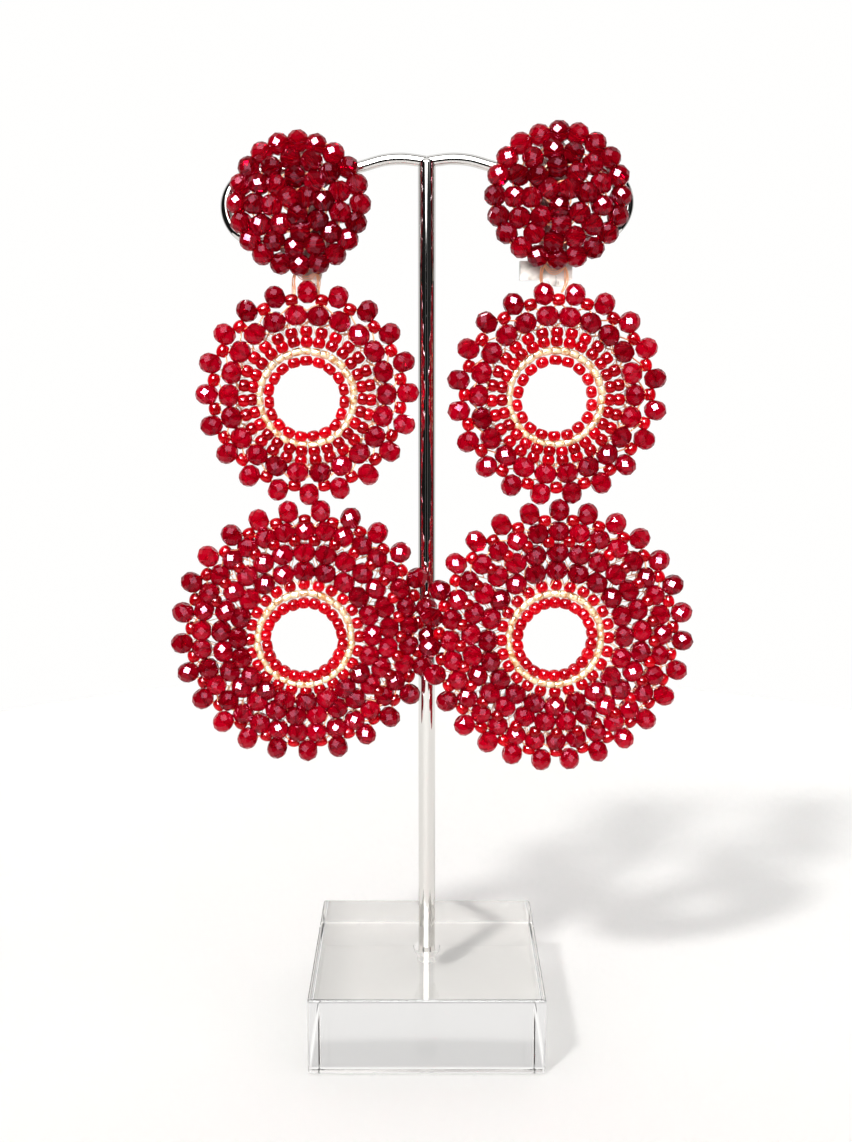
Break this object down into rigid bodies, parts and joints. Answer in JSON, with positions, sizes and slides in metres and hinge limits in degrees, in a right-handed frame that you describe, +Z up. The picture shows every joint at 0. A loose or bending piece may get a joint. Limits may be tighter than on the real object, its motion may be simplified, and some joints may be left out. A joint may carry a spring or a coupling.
{
  "type": "chandelier earring pair on T-bar display stand",
  "caption": "Pair of clip-on beaded chandelier earrings, domed button over two open discs, on a chrome T-bar stand with a clear block.",
  "frame": {"origin": "underside of the clear block, on the axis of the post", "axes": "+Z up along the post, +X to the viewer's right along the arms, -Y towards the viewer"},
  "size_m": [0.0982, 0.0446, 0.1748],
  "materials": {
    "clear_acrylic": "clear polished acrylic",
    "chrome": "mirror chrome plate",
    "ruby_glass": "faceted deep ruby glass",
    "red_glass": "glossy red seed beads",
    "gold_lined_glass": "silver-lined pale gold seed beads",
    "thread": "fine peach beading thread",
    "silver_metal": "silver-coloured clip finding"
  },
  "bodies": {
    "root": {"base_block": "clear_acrylic", "stand_rod": "chrome", "left_clip_frame": "silver_metal", "left_button_backing": "silver_metal", "left_button_outer": "ruby_glass", "left_button_middle": "ruby_glass", "left_button_inner": "ruby_glass", "left_button_centre": "ruby_glass", "right_clip_frame": "silver_metal", "right_button_backing": "silver_metal", "right_button_outer": "ruby_glass", "right_button_middle": "ruby_glass", "right_button_inner": "ruby_glass", "right_button_centre": "ruby_glass"},
    "drop_left": {"left_hang_thread": "thread", "left_mid_outer": "ruby_glass", "left_mid_rondelles": "ruby_glass", "left_mid_seeds": "red_glass", "left_mid_gold": "gold_lined_glass", "left_mid_inner_seeds": "red_glass", "left_low_outer": "ruby_glass", "left_low_ring_a": "ruby_glass", "left_low_ring_b": "ruby_glass", "left_low_ring_c": "ruby_glass", "left_low_seeds": "red_glass", "left_low_gold": "gold_lined_glass", "left_low_inner_seeds": "red_glass"},
    "lever_left": {"left_clip_lever": "silver_metal"},
    "drop_right": {"right_hang_thread": "thread", "right_mid_outer": "ruby_glass", "right_mid_rondelles": "ruby_glass", "right_mid_seeds": "red_glass", "right_mid_gold": "gold_lined_glass", "right_mid_inner_seeds": "red_glass", "right_low_outer": "ruby_glass", "right_low_ring_a": "ruby_glass", "right_low_ring_b": "ruby_glass", "right_low_ring_c": "ruby_glass", "right_low_seeds": "red_glass", "right_low_gold": "gold_lined_glass", "right_low_inner_seeds": "red_glass"},
    "lever_right": {"right_clip_lever": "silver_metal"}
  },
  "joints": [
    {"name": "drop_left_sway", "type": "hinge", "parent": "root", "child": "drop_left", "pos_m": [-0.0222, -0.0064, 0.1492], "axis": [-0.0958, 0.9954, 0], "range_deg": [-18, 18]},
    {"name": "lever_left_open", "type": "hinge", "parent": "root", "child": "lever_left", "pos_m": [-0.0222, 0.0005, 0.1518], "axis": [-1, 0, 0], "range_deg": [0, 60], "stiffness_Nm_per_rad": 0.002, "springref_deg": -17.19},
    {"name": "drop_right_sway", "type": "hinge", "parent": "root", "child": "drop_right", "pos_m": [0.0233, -0.0064, 0.1504], "axis": [-0.0958, 0.9954, 0], "range_deg": [-18, 18]},
    {"name": "lever_right_open", "type": "hinge", "parent": "root", "child": "lever_right", "pos_m": [0.0221, 0.0005, 0.1481], "axis": [-1, 0, 0], "range_deg": [0, 60], "stiffness_Nm_per_rad": 0.002, "springref_deg": -17.19}
  ]
}
